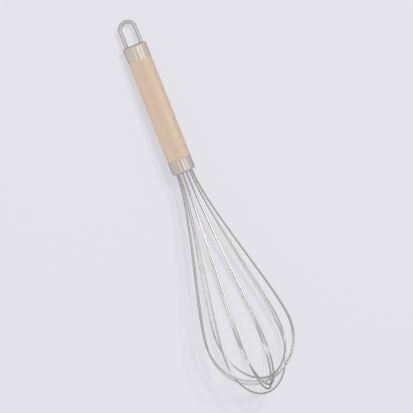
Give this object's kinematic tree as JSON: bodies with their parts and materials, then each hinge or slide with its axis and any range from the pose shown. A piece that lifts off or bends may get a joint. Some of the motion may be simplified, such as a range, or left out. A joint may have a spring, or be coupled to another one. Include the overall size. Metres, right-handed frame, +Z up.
{
  "type": "balloon whisk",
  "caption": "Hand whisk with nested steel wire loops flaring into a balloon, a smooth beige cylindrical grip between polished steel end caps, and a wire loop for hanging.",
  "frame": {"origin": "on the table under the middle of the whisk's box, as the whisk lies at rest", "axes": "+X from the hanging loop to the tip along the table, +Z up, +Y across the whisk"},
  "size_m": [0.3028, 0.0686, 0.0686],
  "materials": {
    "grip_plastic": "smooth satin beige moulding",
    "drawn_steel": "polished stainless steel",
    "loop_steel": "polished stainless steel wire",
    "wire_steel": "bright drawn stainless steel wire",
    "nylon": "moulded dark grey nylon",
    "resin": "cured clear amber resin"
  },
  "bodies": {
    "root": {"grip": "grip_plastic", "rear_cap": "drawn_steel", "loop_anchor": "nylon", "hanging_loop": "loop_steel", "front_ferrule": "drawn_steel", "wire_holder": "nylon", "resin_fill": "resin", "wire_loop_1": "wire_steel", "wire_loop_2": "wire_steel", "wire_loop_3": "wire_steel", "wire_loop_4": "wire_steel", "wire_loop_5": "wire_steel", "wire_loop_6": "wire_steel"}
  },
  "joints": []
}
